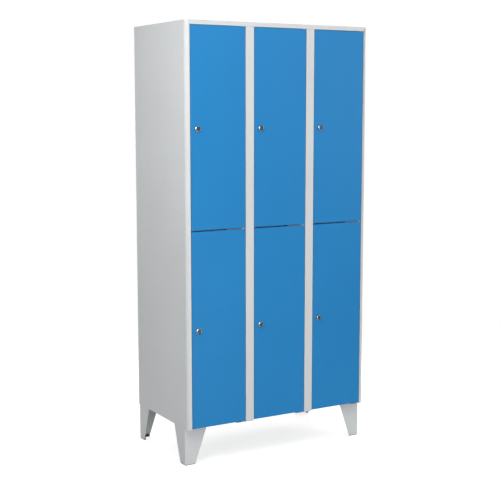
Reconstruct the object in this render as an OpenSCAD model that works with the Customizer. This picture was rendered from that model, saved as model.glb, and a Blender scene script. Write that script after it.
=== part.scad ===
// School locker: a welded sheet-steel carcass on four tapered angle legs, with two
// tiers of three compartments. Each compartment has a flat inset door that hangs on
// pivot pins at its right edge and locks with a cylinder cam lock at its left edge.
// The origin is on the floor under the middle of the carcass: +X is to the right of
// a person facing the doors, -Y is the front and +Z is up. Sizes are in millimetres.

/* [Carcass] */
// Width over the side panels
width = 900; // [840:10:1050]
// Depth from the door faces to the back
depth = 500; // [450:10:600]
// Height of the carcass without its legs
body_height = 1700; // [1500:10:1800]
// Thickness of the carcass, door and stiffener sheet
sheet = 1; // [0.8:0.1:1.2]
// Outer radius of the rounded front corners, which is also the width of the stiles
corner_r = 20; // [16:1:24]
// Width of the two posts between the doors
post_width = 40; // [34:1:50]
// Depth of the folds of the front frame
frame_depth = 25; // [25:1:30]
// Height of the rail over the doors
rail_height = 18; // [15:1:30]
// Height of the floor pan
floor_height = 25; // [24:1:40]

/* [Doors] */
// Depth of the folded door tray
door_depth = 18; // [16:1:18]
// Gap between a door and the frame at each side
side_gap = 2.5; // [2.5:0.1:3.5]
// Gap between a door's end and the hinge plate over or under it
end_gap = 1.5; // [1.4:0.1:2.5]
// Width of the lip round the back of a door tray
door_lip = 12; // [8:1:16]
// Outer radius of the folded upright edges of a door
door_edge_r = 2; // [1.5:0.1:3]
// Distance from a door's left edge to the axis of its lock
lock_inset = 30; // [28:1:45]

/* [Hinges] */
// Radius of a pivot pin
pin_r = 2.5; // [2:0.1:2.7]
// Running clearance between a pin and its bush
pin_clearance = 0.05; // [0.02:0.01:0.1]
// Distance from a door's right edge to the pivot axis
pivot_inset = 10; // [9:0.5:11]
// Distance from the face of a door back to the pivot axis
pivot_depth = 6; // [5.8:0.1:6.2]
// Thickness of a hinge plate
plate_thickness = 2; // [1.5:0.1:2.5]

/* [Locks] */
// Radius of the lock's front rim
rim_r = 12; // [11:0.5:14]
// How far the rim stands out of the door
rim_height = 7; // [5:0.5:9]
// Radius of the turning plug
plug_r = 6.5; // [5.5:0.1:6.8]
// Distance from the lock's axis to the cam's tip
cam_reach = 30; // [27:1:30]

/* [Legs] */
// Height of the legs, from the floor to the carcass
leg_height = 160; // [120:5:200]
// Width of a leg's flanges where they meet the carcass
leg_top = 104; // [90:2:120]
// Width of a leg's flanges at the floor
leg_foot = 48; // [44:1:60]
// Thickness of the leg sheet
leg_sheet = 2; // [1.5:0.5:3]
// How far the front legs stand behind the door faces
leg_setback = 33; // [27:1:40]
// How far the legs stand in from the sides and back of the carcass
leg_inset = 1.5; // [0:0.5:4]

/* [Interior] */
// Radius of a coat rail
rail_r = 9; // [8:0.5:10]
// Distance from the top of a compartment down to its coat rail
rail_drop = 55; // [45:5:80]

/* [Hidden] */
$fn = 64;
COLUMNS = ["left", "middle", "right"];
SIDES = ["left", "right"];
TIERS = ["upper", "lower"];
PLACES = [for (tier = TIERS, column = COLUMNS) str(tier, "_", column)];
DOOR_PARTS = ["door_panel", "door_stiffener", "hinge_bushes", "lock_housing", "lock_plug", "lock_cam"];

GREY = "#d5d8d8";
BLUE = "#2f82c4";
STEEL = "#b9bcc0";
CHROME = "#d8dadc";
BLACK = "#1d1e20";
NYLON = "#e6e4dc";

// Faces of the carcass
left_x = -width / 2;
front = -depth / 2;
back = depth / 2;
bottom = leg_height;
top = bottom + body_height;
fold_back = front + frame_depth;    // behind every fold of the front frame
rear_sheet = back - 2 * sheet;      // the front face of the back panel
rear_return = 20;                   // folds of the side panels over the back panel
stop_width = 10;                    // door stop that stands into an opening
lip_width = 12;                     // fold that turns into a post or stile

// Openings in the front frame, and the shelf and rail between and over the doors
opening_width = (width - 2 * corner_r - 2 * post_width) / 3;
floor_top = bottom + floor_height;
rail_z = top - rail_height;
bottom_plate_z = bottom + sheet;
lower_door_z = bottom_plate_z + plate_thickness + end_gap;
door_width = opening_width - 2 * side_gap;
door_height = (rail_z - 3 * end_gap - plate_thickness - lower_door_z) / 2;
shelf_z = lower_door_z + door_height + end_gap;
upper_door_z = shelf_z + plate_thickness + end_gap;
shelf_fold = 25;
shelf_rear_fold = 15;

// Hinges: plates under, between and over the doors, with a pin in each
middle_plate = [90, 40];            // width, and how far it lies on the shelf
bottom_plate_width = 45;
top_plate_width = 60;
pin_grip = 7;                       // how far a pin goes into a door
bush_flange_r = 5;
bush_flange = 1.2;
bush_r = 3.5;
bush_length = 9;
stiffener_width = 60;
stiffener_foot = 12;
stiffener_end = 22;

// Locks, along +Y from the door's face
barrel_r = 9.4;
barrel_length = 24;
lock_nut = [13, 4];                 // radius over its corners, thickness
plug_clearance = 0.05;
cam_start = 26;
cam_thickness = 2;
cam_hub_r = 9;
cam_tip_r = 7;
tail = 7;                           // side of the plug's square tail
stud_r = 3;
stud_end = 33;
cam_nut = [5.6, 4];

// Legs
leg_corner_r = 6;
glide_base = 2;                     // the legs stand this far off the floor
glide_height = 10;
glide_width = 42;
glide_wall = 7;
bolt_r = 3;
bolt_hole_r = 3.3;
bolt_places = [[25, 17], [85, 17]]; // from the outer corner of a leg
bolt_head = [5.8, 4];               // radius over its corners, thickness

// Interior fittings
rail_wall = 1.2;
socket_flange = [15, 2];            // radius, thickness
socket_r = 11.5;
socket_length = 14;
buffer_r = 4;
buffer_gap = 0.3;                   // free space between a buffer and a shut door
buffer_end = 40;                    // from a door's end to its buffer
vent = [60, 4, 12];                 // length, height and spacing of the vent slots
vent_margin = 60;
fixing_hole_r = 4.5;
fixing_spacing = 600;
fixing_drop = 80;

function opening_x(column) = left_x + corner_r + column * (opening_width + post_width);
function opening_right(column) = opening_x(column) + opening_width;
function post_x(side) = opening_right(side);
function partition_x(side) = post_x(side) + post_width / 2;
function bay_left(column) = column == 0 ? left_x + sheet : partition_x(column - 1) + sheet / 2;
function bay_right(column) = column == 2 ? -left_x - sheet : partition_x(column) - sheet / 2;
function pivot_x(column) = opening_right(column) - side_gap - pivot_inset;
function tier_top(tier) = tier == 0 ? top - sheet : shelf_z - sheet;
function tier_bottom(tier) = tier == 0 ? shelf_z : floor_top;
function door_z(tier) = tier == 0 ? upper_door_z : lower_door_z;

// A block between two corners
module slab(low, high) {
    translate(low) cube(high - low);
}

// A rectangle between two corners
module strip(low, high) {
    translate(low) square(high - low);
}

// An outline in the YZ plane, drawn as [y, z], pulled along X from x0 to x1
module along_x(x0, x1) {
    translate([x0, 0, 0]) rotate([90, 0, 90]) linear_extrude(x1 - x0) children();
}

// An outline in the XZ plane, drawn as [x, z], pulled along Y from y0 to y1
module along_y(y0, y1) {
    translate([0, y1, 0]) rotate([90, 0, 0]) linear_extrude(y1 - y0) children();
}

// Moves what is drawn at a door's lower left front corner to that door
module at_door(index) {
    tier = floor(index / 3);
    column = index % 3;
    translate([opening_x(column) + side_gap, front, door_z(tier)]) children();
}

// Turns what is drawn about +Z so that +Z points back through a door's lock
module at_lock() {
    translate([lock_inset, 0, door_height / 2]) rotate([-90, 0, 0]) children();
}

// ---- Carcass ----

// One side panel, seen as the left one: the wall with its rounded front corner and
// rear return, and the fold that makes the stile's inner face. The fold ends in a
// door stop on the lock side and in a hidden lip on the hinge side.
module side_panel(stops_door) {
    stile = left_x + corner_r;
    translate([0, 0, bottom]) linear_extrude(body_height) {
        strip([left_x, front + corner_r], [left_x + sheet, back]);
        strip([left_x, back - sheet], [left_x + rear_return, back]);
        translate([stile, front + corner_r]) intersection() {
            difference() {
                circle(corner_r);
                circle(corner_r - sheet);
            }
            translate([-corner_r, -corner_r]) square(corner_r);
        }
    }
    translate([0, 0, bottom]) linear_extrude(rail_z - bottom) {
        strip([stile - sheet, front], [stile, fold_back]);
        if (stops_door) strip([stile - sheet, fold_back - sheet], [stile + stop_width, fold_back]);
        else strip([stile - lip_width, fold_back - sheet], [stile, fold_back]);
    }
}

module left_side_panel() {
    color(GREY) side_panel(true);
}

module right_side_panel() {
    color(GREY) mirror([1, 0, 0]) side_panel(false);
}

// Post between two doors: a folded channel whose left edge turns in behind the
// hinges and whose right edge turns out as the next door's stop
module post(side) {
    x0 = post_x(side);
    x1 = x0 + post_width;
    color(GREY) translate([0, 0, bottom]) linear_extrude(rail_z - bottom) {
        strip([x0, front], [x1, front + sheet]);
        strip([x0, front], [x0 + sheet, fold_back]);
        strip([x1 - sheet, front], [x1, fold_back]);
        strip([x0, fold_back - sheet], [x0 + lip_width, fold_back]);
        strip([x1 - sheet, fold_back - sheet], [x1 + stop_width, fold_back]);
    }
}

// Partition between two columns, whose front edge is welded inside a post
module partition(side) {
    x0 = partition_x(side) - sheet / 2;
    color(GREY) along_x(x0, x0 + sheet) {
        strip([front + sheet, floor_top], [rear_sheet, rail_z]);
        strip([fold_back, rail_z - 1], [rear_sheet, top - sheet]);
    }
}

// Roof sheet with rounded front corners, folded down into the rail over the doors
module roof_panel() {
    inner_r = corner_r - sheet;
    stile = left_x + corner_r;
    rear_fold_drop = 4;
    color(GREY) difference() {
        union() {
            translate([0, 0, top - sheet]) linear_extrude(sheet) {
                strip([left_x + sheet, front + corner_r], [-left_x - sheet, rear_sheet]);
                strip([stile, front], [-stile, front + corner_r]);
                for (x = [stile, -stile]) translate([x, front + corner_r]) circle(inner_r);
            }
            along_x(stile, -stile) {
                strip([front, rail_z], [front + sheet, top]);
                strip([front, rail_z], [fold_back, rail_z + sheet]);
                strip([fold_back - sheet, rail_z], [fold_back, top - sheet - rear_fold_drop]);
            }
        }
        for (column = [0:2]) pivot_cylinder(column, pin_r, rail_z - 1, rail_z + 2 * sheet);
    }
}

// Back panel with the holes that fix the locker to a wall, and vent slots
module back_panel() {
    high_vents = [for (tier = [0:1]) tier_top(tier) - 2 * vent_margin];
    low_vents = [for (tier = [0:1]) tier_bottom(tier) + vent_margin];
    steps = [-vent[2], 0, vent[2]];
    color(GREY) along_y(rear_sheet, rear_sheet + sheet) difference() {
        strip([left_x + sheet, bottom], [-left_x - sheet, top]);
        for (x = [-1, 1] * fixing_spacing / 2)
            translate([x, top - fixing_drop]) circle(fixing_hole_r);
        for (column = [0:2], z = concat(high_vents, low_vents), dz = steps)
            translate([(bay_left(column) + bay_right(column)) / 2, z + dz]) vent_slot();
    }
}

// One vent slot with round ends
module vent_slot() {
    r = vent[1] / 2;
    half = vent[0] / 2 - r;
    strip([-half, -r], [half, r]);
    for (x = [-half, half]) translate([x, 0]) circle(r);
}

// Floor pan, folded down and back under itself at the front and at the rear
module floor_panel() {
    lip = 40;
    color(GREY) difference() {
        along_x(left_x + sheet, -left_x - sheet) {
            strip([fold_back, floor_top - sheet], [rear_sheet, floor_top]);
            strip([fold_back, bottom], [fold_back + sheet, floor_top]);
            strip([fold_back, bottom], [fold_back + lip, bottom + sheet]);
            strip([rear_sheet - sheet, bottom], [rear_sheet, floor_top]);
            strip([rear_sheet - lip, bottom], [rear_sheet, bottom + sheet]);
        }
        for_each_bolt() translate([0, 0, bottom - 1]) cylinder(r = bolt_hole_r, h = sheet + 2);
    }
}

// Shelf between the two compartments of a column
module shelf(column) {
    color(GREY) along_x(bay_left(column), bay_right(column)) {
        strip([fold_back, shelf_z - sheet], [rear_sheet, shelf_z]);
        strip([fold_back, shelf_z - shelf_fold], [fold_back + sheet, shelf_z]);
        strip([rear_sheet - sheet, shelf_z - shelf_rear_fold], [rear_sheet, shelf_z]);
    }
}

// ---- Legs ----

// Puts what is drawn for the front left leg, at its outer corner, on one of the legs
module at_leg(at_rear, at_right) {
    x = left_x + leg_inset;
    mirror([at_right ? 1 : 0, 0, 0])
        if (at_rear) translate([x, back - leg_inset, 0]) mirror([0, 1, 0]) children();
        else translate([x, front + leg_setback, 0]) children();
}

// Repeats what it holds at every bolt between a leg and the floor pan
module for_each_bolt() {
    for (at_rear = [false, true], at_right = [false, true], place = bolt_places)
        at_leg(at_rear, at_right) translate(place) children();
}

// A square with one rounded corner at the origin
module rounded_corner(size, r) {
    strip([r, 0], [size, size]);
    strip([0, r], [size, size]);
    translate([r, r]) circle(r);
}

// Side view of a leg's taper, drawn as [distance from the corner, height]
module taper() {
    polygon([[0, 0], [leg_foot, 0], [leg_top, leg_height], [0, leg_height]]);
}

// Leg of folded angle sheet: two tapered flanges and a bolting plate on top
module leg() {
    color(GREY) difference() {
        union() {
            intersection() {
                translate([0, 0, glide_base]) linear_extrude(leg_height - glide_base) difference() {
                    rounded_corner(leg_top, leg_corner_r);
                    translate([leg_sheet, leg_sheet])
                        rounded_corner(leg_top, leg_corner_r - leg_sheet);
                }
                along_x(-1, leg_top + 1) taper();
                along_y(-1, leg_top + 1) taper();
            }
            translate([0, 0, leg_height - leg_sheet]) linear_extrude(leg_sheet)
                rounded_corner(leg_top, leg_corner_r);
        }
        for (place = bolt_places)
            translate([place[0], place[1], leg_height - leg_sheet - 1])
                cylinder(r = bolt_hole_r, h = leg_sheet + 2);
    }
}

// An angle with one rounded outer corner at the origin
module rounded_angle(size, r, wall) {
    difference() {
        rounded_corner(size, r);
        translate([wall, wall]) square(size);
    }
}

// Moulded glide that lies in the foot of a leg and keeps its edges off the floor
module glide() {
    linear_extrude(glide_base)
        rounded_angle(leg_foot - 1, leg_corner_r, leg_sheet + glide_wall);
    translate([leg_sheet, leg_sheet, 0]) linear_extrude(glide_height)
        rounded_angle(glide_width, leg_corner_r - leg_sheet, glide_wall);
}

module foot_glides() {
    color(BLACK) for (at_rear = [false, true], at_right = [false, true]) at_leg(at_rear, at_right) glide();
}

module leg_bolts() {
    shank = leg_sheet + sheet + bolt_head[1] + 3;
    color(STEEL) for_each_bolt() translate([0, 0, bottom - leg_sheet]) {
        translate([0, 0, -bolt_head[1]]) cylinder(r = bolt_head[0], h = bolt_head[1], $fn = 6);
        translate([0, 0, -1]) cylinder(r = bolt_r, h = shank);
    }
}

module leg_nuts() {
    color(STEEL) for_each_bolt() translate([0, 0, bottom + sheet]) difference() {
        cylinder(r = bolt_head[0], h = bolt_head[1], $fn = 6);
        translate([0, 0, -1]) cylinder(r = bolt_r, h = bolt_head[1] + 2);
    }
}

// ---- Hinges ----

// Places a vertical pin or hole of radius r at a column's pivot, from z0 to z1
module pivot_cylinder(column, r, z0, z1) {
    translate([pivot_x(column), front + pivot_depth, z0]) cylinder(r = r, h = z1 - z0);
}

// Plates that carry the pins: an angle on the floor pan, a flat plate on the shelf
// that shows in the gap between the doors, and one hidden inside the rail
module hinge_plates() {
    nose = front + 1;
    color(STEEL) for (column = [0:2]) {
        right = opening_right(column);
        difference() {
            union() {
                slab([right - bottom_plate_width, nose, bottom_plate_z],
                    [right, fold_back, bottom_plate_z + plate_thickness]);
                slab([right - bottom_plate_width, fold_back - plate_thickness, bottom_plate_z],
                    [right, fold_back, floor_top - 1]);
            }
            pivot_cylinder(column, pin_r, bottom, bottom_plate_z + 10);
        }
        difference() {
            slab([right - middle_plate[0], nose, shelf_z],
                [right, fold_back + middle_plate[1], shelf_z + plate_thickness]);
            pivot_cylinder(column, pin_r, shelf_z - 1, shelf_z + 10);
        }
        difference() {
            slab([right - top_plate_width, front + sheet, rail_z + sheet],
                [right, fold_back - sheet, rail_z + sheet + plate_thickness]);
            pivot_cylinder(column, pin_r, rail_z, rail_z + 10);
        }
    }
}

module hinge_pins() {
    color(STEEL) for (column = [0:2]) {
        pivot_cylinder(column, pin_r, bottom_plate_z, lower_door_z + pin_grip);
        pivot_cylinder(column, pin_r, shelf_z - end_gap - pin_grip, upper_door_z + pin_grip);
        pivot_cylinder(column, pin_r, rail_z - end_gap - pin_grip, rail_z + sheet + plate_thickness);
    }
}

// Flanged nylon bushes in the bottom and top edges of a door
module hinge_bushes(index) {
    color(NYLON) at_door(index) translate([door_width - pivot_inset, pivot_depth, 0]) {
        bush();
        translate([0, 0, door_height]) mirror([0, 0, 1]) bush();
    }
}

module bush() {
    translate([0, 0, -bush_flange]) difference() {
        union() {
            cylinder(r = bush_flange_r, h = bush_flange);
            cylinder(r = bush_r, h = bush_length);
        }
        translate([0, 0, -1]) cylinder(r = pin_r + pin_clearance, h = bush_length + 2);
    }
}

// ---- Doors ----

// Plan of a door tray, with its two front edges rounded to radius r
module door_plan(w, d, r) {
    strip([0, r], [w, d]);
    strip([r, 0], [w - r, d]);
    for (x = [r, w - r]) translate([x, r]) circle(r);
}

// Door: one sheet folded back on all four sides, with a lip round its open back
module door_panel(index) {
    color(BLUE) at_door(index) difference() {
        linear_extrude(door_height) door_plan(door_width, door_depth, door_edge_r);
        translate([sheet, sheet, sheet]) linear_extrude(door_height - 2 * sheet)
            door_plan(door_width - 2 * sheet, door_depth - 2 * sheet, door_edge_r - sheet);
        slab([door_lip, 2 * sheet, door_lip],
            [door_width - door_lip, door_depth + 1, door_height - door_lip]);
        at_lock() translate([0, 0, -1]) cylinder(r = barrel_r + 0.1, h = sheet + 2);
        for (z = [-1, door_height - sheet - 1])
            translate([door_width - pivot_inset, pivot_depth, z]) cylinder(r = bush_r, h = sheet + 2);
    }
}

// Upright stiffener of hat section, welded inside a door
module door_stiffener(index) {
    half = stiffener_width / 2;
    rear = door_depth - 4;
    color(BLUE) at_door(index) translate([door_width / 2, 0, stiffener_end])
        linear_extrude(door_height - 2 * stiffener_end) {
            strip([-half, rear - sheet], [half, rear]);
            for (x = [-half, half - sheet]) strip([x, sheet], [x + sheet, rear]);
            strip([-half - stiffener_foot, sheet], [-half + sheet, 2 * sheet]);
            strip([half - sheet, sheet], [half + stiffener_foot, 2 * sheet]);
        }
}

// ---- Locks ----

// Lock body with its sloping rim and shallow dish, and the nut that holds it in the door
module lock_housing(index) {
    bore = plug_r + plug_clearance;
    dish = rim_height - 0.8;
    slope = 2;
    color(CHROME) at_door(index) at_lock() {
        rotate_extrude() polygon([
            [bore, -dish], [rim_r - slope - 0.8, -dish], [rim_r - slope - 0.4, -rim_height],
            [rim_r - slope, -rim_height], [rim_r, slope - rim_height], [rim_r, 0], [barrel_r, 0],
            [barrel_r, barrel_length], [bore, barrel_length]
        ]);
        translate([0, 0, sheet]) difference() {
            cylinder(r = lock_nut[0], h = lock_nut[1], $fn = 6);
            translate([0, 0, -1]) cylinder(r = barrel_r + 0.1, h = lock_nut[1] + 2);
        }
    }
}

// Turning plug with its upright keyway, square tail and stud, and the nut on the stud
module lock_plug(index) {
    face = 1.5 - rim_height;
    keyway = [2, 8.5, 12];
    color(CHROME) at_door(index) at_lock() {
        difference() {
            union() {
                translate([0, 0, face]) cylinder(r = plug_r, h = cam_start - face);
                translate([-tail / 2, -tail / 2, cam_start - 1]) cube([tail, tail, cam_thickness + 0.9]);
                translate([0, 0, cam_start]) cylinder(r = stud_r, h = stud_end - cam_start);
            }
            translate([-keyway[0] / 2, -keyway[1] / 2, face - 1]) cube(keyway);
        }
        translate([0, 0, cam_start + cam_thickness]) difference() {
            cylinder(r = cam_nut[0], h = cam_nut[1], $fn = 6);
            translate([0, 0, -1]) cylinder(r = stud_r + 0.1, h = cam_nut[1] + 2);
        }
    }
}

// Cam on the plug's tail. It hangs straight down here, unlocked, and a quarter turn
// carries its tip behind the door stop.
module lock_cam(index) {
    color(STEEL) at_door(index) at_lock() translate([0, 0, cam_start]) linear_extrude(cam_thickness)
        difference() {
            union() {
                circle(cam_hub_r);
                strip([-cam_tip_r, 0], [cam_tip_r, cam_reach - cam_tip_r]);
                translate([0, cam_reach - cam_tip_r]) circle(cam_tip_r);
            }
            square(tail, center = true);
        }
}

// ---- Interior fittings ----

// Calls its children once for each compartment's coat rail, at the bay's left face
module for_each_rail() {
    for (column = [0:2], tier = [0:1])
        translate([bay_left(column), 0, tier_top(tier) - rail_drop])
            rail_fittings(bay_right(column) - bay_left(column)) children();
}

// Turns its child from +Z to +X, and passes it the length of the bay
module rail_fittings(bay) {
    $bay = bay;
    rotate([0, 90, 0]) children();
}

module coat_rails() {
    inset = socket_flange[1] + 1;
    color(STEEL) for_each_rail() translate([0, 0, inset]) difference() {
        cylinder(r = rail_r, h = $bay - 2 * inset);
        translate([0, 0, -1]) cylinder(r = rail_r - rail_wall, h = $bay);
    }
}

module rail_sockets() {
    color(CHROME) for_each_rail() {
        socket();
        translate([0, 0, $bay]) mirror([0, 0, 1]) socket();
    }
}

// Cup that holds one end of a coat rail
module socket() {
    rotate_extrude() polygon([
        [0, 0], [socket_flange[0], 0], [socket_flange[0], socket_flange[1]], [socket_r, socket_flange[1]],
        [socket_r, socket_length], [rail_r + 0.05, socket_length], [rail_r + 0.05, socket_flange[1]],
        [0, socket_flange[1]]
    ]);
}

// Rubber buffers on the stops, near the top and bottom of each door
module door_buffers() {
    stop_y = fold_back - sheet;
    shut_y = front + door_depth + buffer_gap;
    color(BLACK) for (column = [0:2], tier = [0:1], end = [buffer_end, door_height - buffer_end])
        translate([opening_x(column) + stop_width / 2, shut_y, door_z(tier) + end])
            rotate([-90, 0, 0]) cylinder(r = buffer_r, h = stop_y - shut_y);
}

left_side_panel();
right_side_panel();
back_panel();
roof_panel();
floor_panel();
for (i = [0:1]) post(i);
for (i = [0:1]) partition(i);
for (i = [0:2]) shelf(i);
for (i = [0:1]) at_leg(false, i == 1) leg();
for (i = [0:1]) at_leg(true, i == 1) leg();
foot_glides();
leg_bolts();
leg_nuts();
hinge_plates();
hinge_pins();
coat_rails();
rail_sockets();
door_buffers();
for (i = [0:5]) door_panel(i);
for (i = [0:5]) door_stiffener(i);
for (i = [0:5]) hinge_bushes(i);
for (i = [0:5]) lock_housing(i);
for (i = [0:5]) lock_plug(i);
for (i = [0:5]) lock_cam(i);
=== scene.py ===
"""The school locker's looks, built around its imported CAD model.

Everything is in metres in the CAD frame: +X to the right of a person facing the doors,
-Y out of the doors and +Z up. Folded sheet parts, doors, legs and locks are built here
as finished meshes, and stand for their plain CAD nodes. The other CAD nodes keep their
shape and get broken edges and a material.
"""

import math

import bmesh
import bpy
from mathutils import Matrix, Vector


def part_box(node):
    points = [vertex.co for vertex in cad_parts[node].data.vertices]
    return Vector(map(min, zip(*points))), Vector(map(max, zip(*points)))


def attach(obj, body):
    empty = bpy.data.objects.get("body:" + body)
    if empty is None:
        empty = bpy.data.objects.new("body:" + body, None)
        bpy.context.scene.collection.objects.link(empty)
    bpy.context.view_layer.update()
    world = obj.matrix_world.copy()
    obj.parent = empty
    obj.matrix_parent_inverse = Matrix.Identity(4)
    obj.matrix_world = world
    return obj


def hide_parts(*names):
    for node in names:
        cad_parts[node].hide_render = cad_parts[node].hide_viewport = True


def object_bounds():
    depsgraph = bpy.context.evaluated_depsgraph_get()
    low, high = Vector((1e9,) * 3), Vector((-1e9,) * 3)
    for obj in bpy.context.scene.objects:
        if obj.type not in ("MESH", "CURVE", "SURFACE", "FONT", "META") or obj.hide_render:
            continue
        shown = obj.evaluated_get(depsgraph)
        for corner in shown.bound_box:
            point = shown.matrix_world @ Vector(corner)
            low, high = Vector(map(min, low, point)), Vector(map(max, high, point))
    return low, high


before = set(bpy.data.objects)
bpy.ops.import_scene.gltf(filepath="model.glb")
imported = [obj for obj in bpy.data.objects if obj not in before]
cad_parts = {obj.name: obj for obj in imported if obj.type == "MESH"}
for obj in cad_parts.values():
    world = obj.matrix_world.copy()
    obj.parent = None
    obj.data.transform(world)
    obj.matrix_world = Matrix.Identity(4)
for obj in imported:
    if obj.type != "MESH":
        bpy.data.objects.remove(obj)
cad_low, cad_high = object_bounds()

MM = 0.001
COLUMNS = ["left", "middle", "right"]
SIDES = ["left", "right"]
PLACES = [f"{tier}_{column}" for tier in ("upper", "lower") for column in COLUMNS]

# Sheet metal
SHEET = 1 * MM
LEG_SHEET = 2 * MM
BEND = 1.5 * MM             # outer radius of a plain fold
CORNER = 18.5 * MM          # outer radius of the carcass's rounded front corners
GUARD = 2.5 * MM            # flat strip kept beside a fold, so that flats stay flat
NEAR = 0.1 * MM             # slack when the parts of a folded sheet are told apart

# Widths of broken edges
CUT_EDGE = 0.2 * MM         # thin sheet and small parts
FITTING_EDGE = 0.3 * MM     # plates, pins, bolts and rails
LEG_EDGE = 0.4 * MM
MOULDED_EDGE = 0.5 * MM

# Folds and faces of the front frame, as the CAD model has them
STILE = 20 * MM             # width of a stile
POST = 40 * MM              # width of a post
STOP = 10 * MM              # door stop that stands into an opening
LIP = 12 * MM               # fold that turns into a post, stile or door
DOOR_EDGE = 2 * MM          # outer radius of a door's front edges
DOOR_CORNER = 1.2 * MM      # radius of a door's corners, seen from the front
FRAME_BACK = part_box("floor_panel")[0].y
RAIL_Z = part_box("post_left")[1].z

# Locks, as the CAD model has them
LOCK_HOLE = 9.5 * MM        # radius of the hole in a door
DISH = 9.4 * MM             # radius of the dish inside the rim
NUT_HEIGHT = 4 * MM
THREAD_GAP = 0.1 * MM       # between a thread and the nut on it


# ---- Camera, floor and light ----

def make_camera():
    """Stands front left of the locker at head height and looks slightly down."""
    data = bpy.data.cameras.new("camera")
    data.sensor_width = 36
    data.lens = 78.14
    camera = bpy.data.objects.new("camera", data)
    camera.location = (-2.4443, -4.2075, 1.5086)
    camera.rotation_euler = (math.radians(82.531), 0, math.radians(-30.101))
    bpy.context.scene.collection.objects.link(camera)
    bpy.context.scene.camera = camera


def area_light(name, power, size, place, aim):
    """A soft rectangular lamp at place that shines at aim."""
    data = bpy.data.lights.new(name, "AREA")
    data.shape = "RECTANGLE"
    data.size, data.size_y = size
    data.energy = power
    lamp = bpy.data.objects.new(name, data)
    lamp.location = place
    lamp.rotation_euler = (Vector(aim) - Vector(place)).to_track_quat("-Z", "Y").to_euler()
    lamp.visible_camera = False
    bpy.context.scene.collection.objects.link(lamp)


def make_lights():
    """Soft keys on the upper left, weak fills in front, and lamps for the far sides."""
    middle = (cad_low + cad_high) / 2
    area_light("key", 20, (0.9, 1.1), (-1.5, -1.2, 2.36), middle)
    area_light("left_key", 3, (0.8, 0.8), (-2.0, -0.7, 2.3), middle)
    area_light("left_strip", 11, (0.9, 1.3), (-2.8, -1.65, 1.4), middle)
    area_light("upper_fill", 8.5, (1.2, 0.8), (0.6, -1.7, 2.6), middle)
    area_light("low_fill", 11, (1.0, 0.3), (-0.5, -2.2, 0.3), middle)
    area_light("right_fill", 12, (1.2, 1.2), (2.4, -1.9, 1.6), middle)
    area_light("back_key", 60, (2.0, 1.5), (1.5, 3.2, 2.8), middle)
    area_light("back_fill", 20, (1.5, 1.5), (-0.2, 3.4, 1.2), middle)
    area_light("right_key", 40, (1.5, 1.5), (3.2, 0.6, 2.4), middle)


def make_world():
    """White where the camera sees it, and a dimmer soft light everywhere else."""
    world = bpy.data.worlds.new("studio")
    world.use_nodes = True
    tree = world.node_tree
    tree.nodes.clear()
    out = tree.nodes.new("ShaderNodeOutputWorld")
    seen = tree.nodes.new("ShaderNodeBackground")
    seen.inputs["Color"].default_value = (1, 1, 1, 1)
    light = tree.nodes.new("ShaderNodeBackground")
    light.inputs["Color"].default_value = (0.95, 0.975, 1, 1)
    light.inputs["Strength"].default_value = 0.41
    path = tree.nodes.new("ShaderNodeLightPath")
    mix = tree.nodes.new("ShaderNodeMixShader")
    tree.links.new(path.outputs["Is Camera Ray"], mix.inputs[0])
    tree.links.new(light.outputs[0], mix.inputs[1])
    tree.links.new(seen.outputs[0], mix.inputs[2])
    tree.links.new(mix.outputs[0], out.inputs["Surface"])
    bpy.context.scene.world = world
    bpy.context.scene.view_settings.view_transform = "Standard"


def make_floor():
    """A pale floor round the locker that fades out into the white beyond."""
    bm = bmesh.new()
    bmesh.ops.create_circle(bm, cap_ends=True, segments=96, radius=2.8)
    mesh = bpy.data.meshes.new("floor")
    bm.to_mesh(mesh)
    bm.free()
    floor = bpy.data.objects.new("floor", mesh)
    bpy.context.scene.collection.objects.link(floor)
    material = bpy.data.materials.new("floor")
    material.use_nodes = True
    tree = material.node_tree
    shader = tree.nodes["Principled BSDF"]
    shader.inputs["Base Color"].default_value = (0.6, 0.6, 0.6, 1)
    shader.inputs["Roughness"].default_value = 0.8
    shader.inputs["Specular IOR Level"].default_value = 0.2
    shader.inputs["Emission Color"].default_value = (1, 1, 1, 1)
    path = tree.nodes.new("ShaderNodeLightPath")
    glow = tree.nodes.new("ShaderNodeMath")
    glow.operation = "MULTIPLY"
    glow.inputs[1].default_value = 0.65
    tree.links.new(path.outputs["Is Camera Ray"], glow.inputs[0])
    tree.links.new(glow.outputs[0], shader.inputs["Emission Strength"])
    place = tree.nodes.new("ShaderNodeTexCoord")
    distance = tree.nodes.new("ShaderNodeVectorMath")
    distance.operation = "LENGTH"
    fade = tree.nodes.new("ShaderNodeMapRange")
    fade.interpolation_type = "SMOOTHSTEP"
    fade.inputs["From Min"].default_value = 0.8
    fade.inputs["From Max"].default_value = 2.5
    clear = tree.nodes.new("ShaderNodeBsdfTransparent")
    mix = tree.nodes.new("ShaderNodeMixShader")
    tree.links.new(place.outputs["Object"], distance.inputs[0])
    tree.links.new(distance.outputs["Value"], fade.inputs["Value"])
    tree.links.new(fade.outputs["Result"], mix.inputs[0])
    tree.links.new(shader.outputs[0], mix.inputs[1])
    tree.links.new(clear.outputs[0], mix.inputs[2])
    tree.links.new(mix.outputs[0], tree.nodes["Material Output"].inputs["Surface"])
    mesh.materials.append(material)


make_camera()
make_lights()
make_world()
make_floor()


# ---- Materials ----

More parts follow.
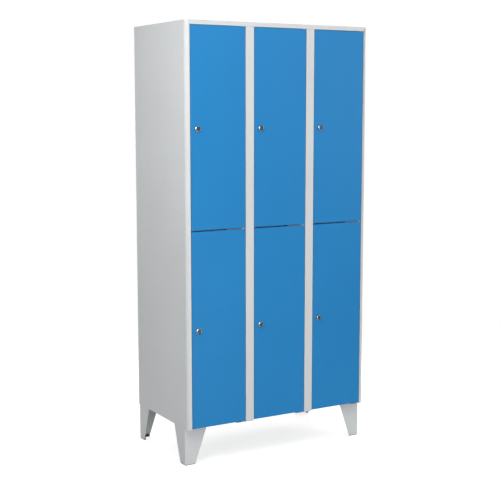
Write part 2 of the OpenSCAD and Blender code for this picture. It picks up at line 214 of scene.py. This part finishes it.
class Surface:
    """A material with one Principled shader, and short ways to add nodes before it."""

    def __init__(self, name, **values):
        self.material = bpy.data.materials.new(name)
        self.material.use_nodes = True
        self.tree = self.material.node_tree
        self.shader = self.tree.nodes["Principled BSDF"]
        self.height = None
        for socket, value in values.items():
            self.shader.inputs[socket.replace("_", " ")].default_value = value
        self.object_place = self.add("ShaderNodeTexCoord").outputs["Object"]

    def add(self, kind, links=None, **inputs):
        """A node with its inputs set from keywords and linked from links."""
        node = self.tree.nodes.new(kind)
        for name, value in inputs.items():
            node.inputs[name.replace("_", " ")].default_value = value
        for name, source in (links or {}).items():
            self.tree.links.new(source, node.inputs[name])
        return node

    def noise(self, scale, detail=2.0, place=None, stretch=None):
        """Noise with that many features a metre, stretched along the axes if asked."""
        place = place or self.object_place
        if stretch:
            place = self.add("ShaderNodeMapping", {"Vector": place}, Scale=stretch).outputs[0]
        node = self.add("ShaderNodeTexNoise", {"Vector": place}, Scale=scale, Detail=detail)
        return node.outputs["Fac"]

    def spread(self, source, low, high, near=0.3, far=0.7):
        """source, with near to far spread over low to high."""
        node = self.add("ShaderNodeMapRange", {"Value": source})
        node.inputs["From Min"].default_value = near
        node.inputs["From Max"].default_value = far
        node.inputs["To Min"].default_value = low
        node.inputs["To Max"].default_value = high
        return node.outputs["Result"]

    def blend(self, factor, first, second):
        """A colour between first and second, each a colour or a socket."""
        node = self.tree.nodes.new("ShaderNodeMix")
        node.data_type = "RGBA"
        self.tree.links.new(factor, node.inputs[0])
        for socket, value in ((node.inputs[6], first), (node.inputs[7], second)):
            if isinstance(value, tuple):
                socket.default_value = (*value, 1)
            else:
                self.tree.links.new(value, socket)
        return node.outputs[2]

    def drive(self, socket, source):
        self.tree.links.new(source, self.shader.inputs[socket])

    def bump(self, height, depth):
        """Raises the surface by height, whose 0 to 1 is depth metres, over any bump so far."""
        node = self.add("ShaderNodeBump", {"Height": height}, Strength=1.0, Distance=depth)
        if self.height:
            self.tree.links.new(self.height, node.inputs["Normal"])
        self.height = node.outputs["Normal"]
        self.tree.links.new(self.height, self.shader.inputs["Normal"])


def shade(colour, factor):
    """colour times factor."""
    return tuple(channel * factor for channel in colour)


def powder_coat(name, colour, mottle):
    """Satin powder coat: orange peel, slight waves, and a mottle that darkens it by up to mottle."""
    surface = Surface(name, IOR=1.5, Specular_IOR_Level=0.3)
    cloud = surface.spread(surface.noise(2.5, 3), 0, 1)
    speck = surface.spread(surface.noise(110, 3), 0, 1)
    tone = surface.blend(cloud, shade(colour, 0.975), shade(colour, 1.02))
    dull = surface.blend(cloud, shade(colour, 0.975 - mottle), shade(colour, 1.02 - mottle))
    surface.drive("Base Color", surface.blend(speck, tone, dull))
    surface.drive("Roughness", surface.spread(surface.noise(30, 4), 0.42, 0.52))
    surface.bump(surface.noise(3.5, 1), 0.5 * MM)
    surface.bump(surface.noise(420, 2), 0.02 * MM)
    return surface.material


def zinc_plate():
    """Bright zinc on steel, with fine drawing lines and a mottled gloss."""
    surface = Surface("zinc_steel", Metallic=1.0)
    mottle = surface.spread(surface.noise(60, 4), 0, 1)
    surface.drive("Base Color", surface.blend(mottle, (0.33, 0.34, 0.36), (0.44, 0.45, 0.47)))
    surface.drive("Roughness", surface.spread(surface.noise(90, 3), 0.42, 0.6))
    surface.bump(surface.noise(900, 2, stretch=(0.1, 1, 1)), 0.02 * MM)
    return surface.material


def nickel_plate(name, dark, light, rough, painted_shade_radius=None):
    """Nickel plate, with handling haze, and painted shade darkening the dish inside that radius about Y."""
    surface = Surface(name, Metallic=1.0)
    haze = surface.spread(surface.noise(220, 3), 0, 1)
    tone = surface.blend(haze, dark, light)
    # Painted shade: inside this radius the dish is darkened to about a fifth of the plate's colour, in
    # place of the shadow in it.
    if painted_shade_radius:
        flat = surface.add("ShaderNodeVectorMath", {0: surface.object_place})
        flat.operation = "MULTIPLY"
        flat.inputs[1].default_value = (1, 0, 1)
        reach = surface.add("ShaderNodeVectorMath", {0: flat.outputs[0]})
        reach.operation = "LENGTH"
        edge = surface.spread(reach.outputs["Value"], 0, 1, painted_shade_radius - 0.3 * MM, painted_shade_radius + 0.1 * MM)
        tone = surface.blend(edge, shade(dark, 0.22), tone)
    surface.drive("Base Color", tone)
    surface.drive("Roughness", surface.spread(surface.noise(300, 3), rough - 0.06, rough + 0.06))
    surface.bump(surface.noise(1500, 2), 0.008 * MM)
    return surface.material


def moulded(name, dark, light, rough, grain):
    """Moulded plastic or rubber with a fine grain."""
    surface = Surface(name, IOR=1.5)
    cloud = surface.spread(surface.noise(60, 3), 0, 1)
    surface.drive("Base Color", surface.blend(cloud, dark, light))
    surface.drive("Roughness", surface.spread(surface.noise(200, 3), rough - 0.06, rough + 0.06))
    surface.bump(surface.noise(1800, 2), grain)
    return surface.material


GREY = powder_coat("carcass_grey", (0.63, 0.64, 0.64), 0.04)
BLUE = powder_coat("door_blue", (0.011, 0.209, 0.498), 0.02)
ZINC = zinc_plate()
NICKEL = nickel_plate("lock_chrome", (0.47, 0.49, 0.50), (0.57, 0.59, 0.60), 0.2)
# The rim's dish carries painted shade, darker inside the dish radius.
RIM = nickel_plate("lock_rim", (0.47, 0.49, 0.50), (0.57, 0.59, 0.60), 0.2, painted_shade_radius=DISH)
BRUSHED = nickel_plate("lock_face", (0.15, 0.16, 0.17), (0.21, 0.22, 0.23), 0.38)
PLASTIC = moulded("black_plastic", (0.012, 0.012, 0.013), (0.02, 0.02, 0.022), 0.5, 0.03 * MM)
NYLON = moulded("white_nylon", (0.72, 0.70, 0.64), (0.78, 0.76, 0.70), 0.42, 0.01 * MM)
RUBBER = moulded("black_rubber", (0.016, 0.016, 0.016), (0.024, 0.024, 0.024), 0.75, 0.03 * MM)


# ---- Mesh tools ----

def finish_edges(piece, width):
    """Breaks a piece's sharp edges, and keeps its flats evenly lit."""
    bevel = piece.modifiers.new("broken_edges", "BEVEL")
    bevel.width = width
    bevel.segments = 2
    bevel.limit_method = "ANGLE"
    bevel.angle_limit = math.radians(40)
    bevel.use_clamp_overlap = True
    normals = piece.modifiers.new("even_normals", "WEIGHTED_NORMAL")
    normals.keep_sharp = True


def add_piece(name, bm, material, body, replaces, edge=CUT_EDGE, centre=None):
    """Makes an object of bm that rides on body and stands for the CAD nodes in replaces."""
    bmesh.ops.remove_doubles(bm, verts=bm.verts, dist=1e-6)
    bmesh.ops.recalc_face_normals(bm, faces=bm.faces)
    mesh = bpy.data.meshes.new(name)
    bm.to_mesh(mesh)
    bm.free()
    mesh.shade_smooth()
    mesh.materials.append(material)
    piece = bpy.data.objects.new(name, mesh)
    bpy.context.scene.collection.objects.link(piece)
    if centre:
        mesh.transform(Matrix.Translation(-Vector(centre)))
        piece.matrix_world = Matrix.Translation(centre)
    finish_edges(piece, edge)
    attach(piece, body)
    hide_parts(*replaces)


def folded(points, radii):
    """Points and unit normals along a folded path, whose inner corners have these radii."""
    fold_steps, corner_steps, wide = 6, 18, 5 * MM
    points = [Vector(point) for point in points]
    runs = [(end - start).normalized() for start, end in zip(points, points[1:])]
    stations = [(points[0], runs[0].orthogonal())]
    for i, radius in enumerate(radii):
        before, after, corner = runs[i], runs[i + 1], points[i + 1]
        turn = math.atan2(before.cross(after), before.dot(after))
        side = math.copysign(1, turn)
        reach = radius * math.tan(abs(turn) / 2)
        normal = before.orthogonal()
        centre = corner - before * reach + normal * radius * side
        if (corner - points[i]).length > reach + 2 * GUARD:
            stations.append((corner - before * (reach + GUARD), normal))
        steps = corner_steps if radius > wide else fold_steps
        for k in range(steps + 1):
            spoke = Matrix.Rotation(turn * k / steps, 2) @ normal
            stations.append((centre - spoke * radius * side, spoke))
        if (points[i + 2] - corner).length > reach + 2 * GUARD:
            stations.append((corner + after * (reach + GUARD), after.orthogonal()))
    stations.append((points[-1], runs[-1].orthogonal()))
    return stations


def sheet_mesh(bm, outer, inner, keep=None):
    """Sheet of even thickness between two grids of points, where keep(i, j) is true."""
    rows, columns = len(outer) - 1, len(outer[0]) - 1
    kept = {(i, j) for i in range(rows) for j in range(columns) if keep is None or keep(i, j)}
    made = {}

    def vertex(side, i, j):
        if (side, i, j) not in made:
            made[side, i, j] = bm.verts.new((outer, inner)[side][i][j])
        return made[side, i, j]

    for i, j in sorted(kept):
        corners = [(i, j), (i + 1, j), (i + 1, j + 1), (i, j + 1)]
        for side in (0, 1):
            bm.faces.new([vertex(side, *c) for c in corners])
        beside = [(i, j - 1), (i + 1, j), (i, j + 1), (i - 1, j)]
        for k, cell in enumerate(beside):
            if cell not in kept:
                a, b = corners[k], corners[(k + 1) % 4]
                bm.faces.new([vertex(0, *a), vertex(0, *b), vertex(1, *b), vertex(1, *a)])


def pulled_sheet(bm, path, radii, levels, place, keep=None, thickness=SHEET):
    """Folded sheet whose middle follows path. place(u, v, w) puts it in space, w in levels."""
    stations = folded(path, radii)
    half = thickness / 2
    sides = []
    for side in (1, -1):
        offset = [p + n * half * side for p, n in stations]
        sides.append([[place(p.x, p.y, w) for w in levels] for p in offset])
    sheet_mesh(bm, *sides, keep=(lambda i, j: keep(stations[i][0], levels[j])) if keep else None)


def upright(u, v, w):
    """A plan path in X and Y, pulled along Z."""
    return Vector((u, v, w))


def sideways(u, v, w):
    """A path in Y and Z, pulled along X."""
    return Vector((w, u, v))


def rounded_box(low, high, inset, radius, steps=4):
    """Round-cornered rectangle in X and Z, drawn inset from its low and high corners."""
    x0, x1 = low[0] + inset + radius, high[0] - inset - radius
    z0, z1 = low[1] + inset + radius, high[1] - inset - radius
    points = []
    for quarter, (x, z) in enumerate(((x1, z1), (x0, z1), (x0, z0), (x1, z0))):
        for k in range(steps + 1):
            angle = math.pi / 2 * (quarter + k / steps)
            points.append((x + radius * math.cos(angle), z + radius * math.sin(angle)))
    return points


def rounded_block(centre, half, radius):
    """Round-cornered rectangle about a centre, in X and Z."""
    low = (centre[0] - half[0], centre[1] - half[1])
    high = (centre[0] + half[0], centre[1] + half[1])
    return rounded_box(low, high, 0, radius)


def circle(centre, radius, count):
    """Points round a circle in X and Z."""
    angles = [2 * math.pi * k / count for k in range(count)]
    return [(centre[0] + radius * math.cos(a), centre[1] + radius * math.sin(a)) for a in angles]


def loop_of(bm, points, y):
    """Closed loop of vertices at depth y."""
    return [bm.verts.new((x, y, z)) for x, z in points]


def bridge(bm, first, second):
    """Quads between two loops with the same number of vertices."""
    for k in range(len(first)):
        bm.faces.new([first[k - 1], first[k], second[k], second[k - 1]])


def bridge_all(bm, loops):
    for first, second in zip(loops, loops[1:]):
        bridge(bm, first, second)


def fill(bm, outside, hole):
    """Flat face between a loop and a hole in it."""
    edges = []
    for loop in (outside, hole):
        for k in range(len(loop)):
            ends = (loop[k - 1], loop[k])
            edges.append(bm.edges.get(ends) or bm.edges.new(ends))
    bmesh.ops.triangle_fill(bm, use_beauty=True, edges=edges)


# ---- Carcass ----

def side_panel(side):
    """Side with its rounded front corner, stile fold and rear return."""
    sign = -1 if side == "left" else 1
    low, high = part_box(f"{side}_side_panel")
    half = SHEET / 2
    bend = BEND - half
    wall = cad_high.x - half
    stile = cad_high.x - STILE + half
    front, rear, back = low.y + half, high.y - half, FRAME_BACK - half
    end = stile - half - STOP if side == "left" else stile - half + LIP
    path = [(wall + half - STILE, rear), (wall, rear), (wall, front)]
    path += [(stile, front), (stile, back), (end, back)]

    def keep(point, z):
        return z < RAIL_Z - MM or abs(point.x) > stile + bend + NEAR or point.y > 0

    bm = bmesh.new()
    radii = [bend, CORNER - half, bend, bend]
    pulled_sheet(bm, [(sign * x, y) for x, y in path], radii, [low.z, RAIL_Z, high.z], upright, keep)
    add_piece(f"side_shell_{side}", bm, GREY, "root", [f"{side}_side_panel"])


def post(side):
    """Folded channel between two doors, with the next door's stop on its right."""
    low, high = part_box(f"post_{side}")
    half = SHEET / 2
    left, right, front, back = low.x + half, low.x + POST - half, low.y + half, high.y - half
    path = [(low.x + LIP, back), (left, back), (left, front), (right, front), (right, back), (high.x, back)]
    bm = bmesh.new()
    pulled_sheet(bm, path, [BEND - half] * 4, [low.z, high.z], upright)
    add_piece(f"post_channel_{side}", bm, GREY, "root", [f"post_{side}"])


def roof():
    """Roof sheet folded down into the rail over the doors, with two round front corners."""
    low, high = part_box("roof_panel")
    half = SHEET / 2
    bend = BEND - half
    top, front, under, back = high.z - half, low.y + half, low.z + half, FRAME_BACK - half
    fold_end = high.z - 5 * MM
    path = [(high.y, top), (front, top), (front, under), (back, under), (back, fold_end)]
    straight = cad_high.x - CORNER
    inner = CORNER - SHEET
    steps = 12
    turns = [inner * math.sin(math.pi / 2 * k / steps) for k in range(1, steps + 1)]
    levels = [-straight - turn for turn in reversed(turns)] + [-straight, straight]
    levels += [straight + turn for turn in turns]

    def place(u, v, w):
        over = abs(w) - straight
        if over > 0:
            rim = low.y + CORNER - math.sqrt(max(inner * inner - over * over, 0))
            u = max(u, rim) if u > front + bend + NEAR else rim
        return Vector((w, u, v))

    def keep(point, w):
        on_roof = point.y > top - NEAR / 10 and point.x > front + bend + NEAR
        return on_roof or -straight - NEAR < w < straight - NEAR

    bm = bmesh.new()
    pulled_sheet(bm, path, [bend] * 3, levels, place, keep)
    add_piece("roof_sheet", bm, GREY, "root", ["roof_panel"])


def tray(name, node, path, radii):
    """A folded sheet pulled from side to side of the node that it stands for."""
    low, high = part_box(node)
    bm = bmesh.new()
    pulled_sheet(bm, path, radii, [low.x, high.x], sideways)
    add_piece(name, bm, GREY, "root", [node])


def floor_pan():
    """Floor pan, folded down and back under itself at the front and at the rear."""
    low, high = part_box("floor_panel")
    half = SHEET / 2
    lip = 40 * MM
    front, rear, under, top = low.y + half, high.y - half, low.z + half, high.z - half
    path = [(low.y + lip, under), (front, under), (front, top)]
    path += [(rear, top), (rear, under), (high.y - lip, under)]
    tray("floor_pan", "floor_panel", path, [BEND - half] * 4)


def shelf(column):
    """Shelf folded down at the front and less far at the rear."""
    low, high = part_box(f"shelf_{column}")
    half = SHEET / 2
    rear_fold = 15 * MM
    front, rear, top = low.y + half, high.y - half, high.z - half
    path = [(front, low.z), (front, top), (rear, top), (rear, high.z - rear_fold)]
    tray(f"shelf_tray_{column}", f"shelf_{column}", path, [BEND - half] * 2)


def leg(end, side):
    """Tapered angle with a rounded corner, and the plate that its bolts go through."""
    node = f"leg_{end}_{side}"
    low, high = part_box(node)
    x, inward = (high.x, -1) if side == "right" else (low.x, 1)
    y, behind = (high.y, -1) if end == "rear" else (low.y, 1)
    wide, foot, corner = high.x - low.x, 48 * MM, 6 * MM
    half = LEG_SHEET / 2

    def place(u, v, w):
        reach = foot + (wide - foot) * w / high.z
        return Vector((x + inward * min(u, reach), y + behind * min(v, reach), w))

    bm = bmesh.new()
    path = [(half, wide), (half, half), (wide, half)]
    pulled_sheet(bm, path, [corner - half], [low.z, high.z], place, thickness=LEG_SHEET)
    plate = [(LEG_SHEET, LEG_SHEET), (wide, LEG_SHEET), (wide, wide), (LEG_SHEET, wide)]
    loops = []
    for z in (high.z - LEG_SHEET, high.z):
        loops.append([bm.verts.new((x + inward * u, y + behind * v, z)) for u, v in plate])
    bridge(bm, *loops)
    for loop in loops:
        bm.faces.new(loop)
    add_piece(f"leg_angle_{end}_{side}", bm, GREY, "root", [node], edge=LEG_EDGE)


# ---- Doors ----

def lock_axis(place):
    """Where a door's lock is, in X and Z."""
    low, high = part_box(f"lock_housing_{place}")
    return (low.x + high.x) / 2, (low.z + high.z) / 2


def tray_profile(front, back, thickness):
    """One face of a door's wall, as (inset, y) points from its front round to its lip's end."""
    nose, fold = DOOR_EDGE - thickness, BEND - thickness
    nose_steps, fold_steps = 6, 4
    y0, y1 = front + thickness, back - thickness
    points = [(DOOR_EDGE + GUARD, y0)]
    for k in range(nose_steps + 1):
        angle = math.pi / 2 * k / nose_steps
        points.append((DOOR_EDGE - nose * math.sin(angle), front + DOOR_EDGE - nose * math.cos(angle)))
    points += [(thickness, front + DOOR_EDGE + GUARD), (thickness, back - BEND - GUARD)]
    for k in range(fold_steps + 1):
        angle = math.pi / 2 * k / fold_steps
        points.append((BEND - fold * math.cos(angle), back - BEND + fold * math.sin(angle)))
    return points + [(BEND + GUARD, y1), (LIP, y1)]


def door(place):
    """Door folded from one sheet, with rounded edges, a lip round its back and a lock hole."""
    low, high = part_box(f"door_panel_{place}")
    hole = circle(lock_axis(place), LOCK_HOLE, 48)
    bm = bmesh.new()
    holes, lips = [], []
    for thickness in (0, SHEET):
        profile = tray_profile(low.y, high.y, thickness)
        loops = []
        for inset, y in profile:
            radius = max(DOOR_CORNER - inset, 0.2 * MM)
            loops.append(loop_of(bm, rounded_box((low.x, low.z), (high.x, high.z), inset, radius), y))
        bridge_all(bm, loops)
        holes.append(loop_of(bm, hole, profile[0][1]))
        lips.append(loops[-1])
        fill(bm, loops[0], holes[-1])
    bridge(bm, *holes)
    bridge(bm, *lips)
    add_piece(f"door_skin_{place}", bm, BLUE, f"door_{place}", [f"door_panel_{place}"])


def stiffener(place):
    """Hat section welded upright inside a door."""
    low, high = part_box(f"door_stiffener_{place}")
    half = SHEET / 2
    left, right, feet, rear = low.x + LIP + half, high.x - LIP - half, low.y + half, high.y - half
    path = [(low.x, feet), (left, feet), (left, rear), (right, rear), (right, feet), (high.x, feet)]
    bm = bmesh.new()
    pulled_sheet(bm, path, [BEND - half] * 4, [low.z, high.z], upright)
    add_piece(f"door_rib_{place}", bm, BLUE, f"door_{place}", [f"door_stiffener_{place}"])


# ---- Locks ----

def turned(bm, axis, profile, count):
    """Surface turned about a lock's axis from (radius, y) points, as its loops."""
    loops = [loop_of(bm, circle(axis, radius, count), y) for radius, y in profile]
    bridge_all(bm, loops)
    return loops


def nut(bm, axis, radius, bore, y, height):
    """Hexagon nut from y to y + height, with corners at radius."""
    pairs = []
    for face in (y, y + height):
        pair = loop_of(bm, circle(axis, radius, 6), face), loop_of(bm, circle(axis, bore, 48), face)
        fill(bm, *pair)
        pairs.append(pair)
    for first, second in zip(*pairs):
        bridge(bm, first, second)


def lock(place):
    """Lock body with its sloping rim, shallow dish, threaded barrel and nut."""
    axis = lock_axis(place)
    low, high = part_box(f"lock_housing_{place}")
    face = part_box(f"door_panel_{place}")[0].y
    rim, slope, roll, roll_steps = 12 * MM, 2 * MM, 0.5 * MM, 4
    dish = low.y + 0.8 * MM
    bore, bore_edge, rim_edge = 6.55 * MM, (0.3 * MM, 0.4 * MM), (0.3 * MM, 0.5 * MM)
    barrel, root, pitch = 9.4 * MM, 0.55 * MM, MM
    thread_start, thread_margin = 5.5 * MM, 6.5 * MM
    nut_radius = 13 * MM
    profile = [(bore, high.y), (bore, dish + bore_edge[1]), (bore + bore_edge[0], dish), (DISH, dish)]
    for k in range(roll_steps + 1):
        angle = math.pi / 2 * k / roll_steps
        profile.append((DISH + roll * (1 - math.cos(angle)), low.y + roll * (1 - math.sin(angle))))
    profile += [(rim - slope, low.y), (rim, low.y + slope), (rim, face - rim_edge[1])]
    profile += [(rim - rim_edge[0], face), (barrel, face), (barrel, face + 5 * MM)]
    for k in range(int((high.y - face - thread_margin) / pitch)):
        y = face + thread_start + k * pitch
        profile += [(barrel - root, y), (barrel, y + pitch / 2)]
    profile += [(barrel - 0.6 * MM, high.y), (bore, high.y)]
    bm = bmesh.new()
    turned(bm, axis, profile, 64)
    nut(bm, axis, nut_radius, barrel + THREAD_GAP, face + SHEET, NUT_HEIGHT)
    add_piece(f"lock_body_{place}", bm, RIM, f"door_{place}", [f"lock_housing_{place}"],
              edge=0.15 * MM, centre=(axis[0], face, axis[1]))


def plug(place):
    """Turning plug with its upright keyway, square tail, stud and nut."""
    axis = lock_axis(place)
    low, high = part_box(f"lock_plug_{place}")
    cam_low, cam_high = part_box(f"lock_cam_{place}")
    radius, edge = 6.5 * MM, 0.4 * MM
    slot, depth = (MM, 4.25 * MM), 11 * MM      # half the keyway's width and height, and its depth
    half_tail, stud_radius, stud_edge, nut_radius = 3.5 * MM, 3 * MM, 0.6 * MM, 5.6 * MM
    bm = bmesh.new()
    body = [(radius - edge, low.y), (radius, low.y + edge), (radius, cam_low.y)]
    loops = turned(bm, axis, body, 48)
    mouth, bottom = (loop_of(bm, rounded_block(axis, slot, 0.3 * MM), y) for y in (low.y, low.y + depth))
    fill(bm, loops[0], mouth)
    bridge(bm, mouth, bottom)
    square = rounded_block(axis, (half_tail, half_tail), 0.4 * MM)
    tail = [loop_of(bm, square, y) for y in (cam_low.y, cam_high.y)]
    bridge(bm, *tail)
    outline = [(stud_radius, cam_high.y - MM), (stud_radius, high.y - stud_edge)]
    outline.append((stud_radius - stud_edge, high.y))
    stud = turned(bm, axis, outline, 32)
    for loop in (bottom, loops[-1], *tail, stud[0], stud[-1]):
        bm.faces.new(loop)
    nut(bm, axis, nut_radius, stud_radius + THREAD_GAP, cam_high.y, NUT_HEIGHT)
    add_piece(f"lock_core_{place}", bm, BRUSHED, f"plug_{place}", [f"lock_plug_{place}"],
              edge=0.12 * MM, centre=(axis[0], low.y, axis[1]))


# ---- CAD nodes that stay ----

def dress(node, material, edge):
    """Gives a CAD node broken edges and a material."""
    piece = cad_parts[node]
    weld = piece.modifiers.new("weld", "WELD")
    weld.merge_threshold = 1e-6
    finish_edges(piece, edge)
    piece.data.shade_smooth()
    if not piece.material_slots:
        piece.data.materials.append(material)
    for slot in piece.material_slots:
        slot.material = material


for side in SIDES:
    side_panel(side)
    post(side)
    dress(f"partition_{side}", GREY, CUT_EDGE)
for column in COLUMNS:
    shelf(column)
for end in ("front", "rear"):
    for side in SIDES:
        leg(end, side)
roof()
floor_pan()
for place in PLACES:
    door(place)
    stiffener(place)
    lock(place)
    plug(place)
    dress(f"hinge_bushes_{place}", NYLON, CUT_EDGE)
    dress(f"lock_cam_{place}", ZINC, CUT_EDGE)
dress("back_panel", GREY, CUT_EDGE)
for node in ("hinge_plates", "hinge_pins", "leg_bolts", "leg_nuts", "coat_rails"):
    dress(node, ZINC, FITTING_EDGE)
dress("rail_sockets", NICKEL, FITTING_EDGE)
dress("foot_glides", PLASTIC, MOULDED_EDGE)
dress("door_buffers", RUBBER, MOULDED_EDGE)
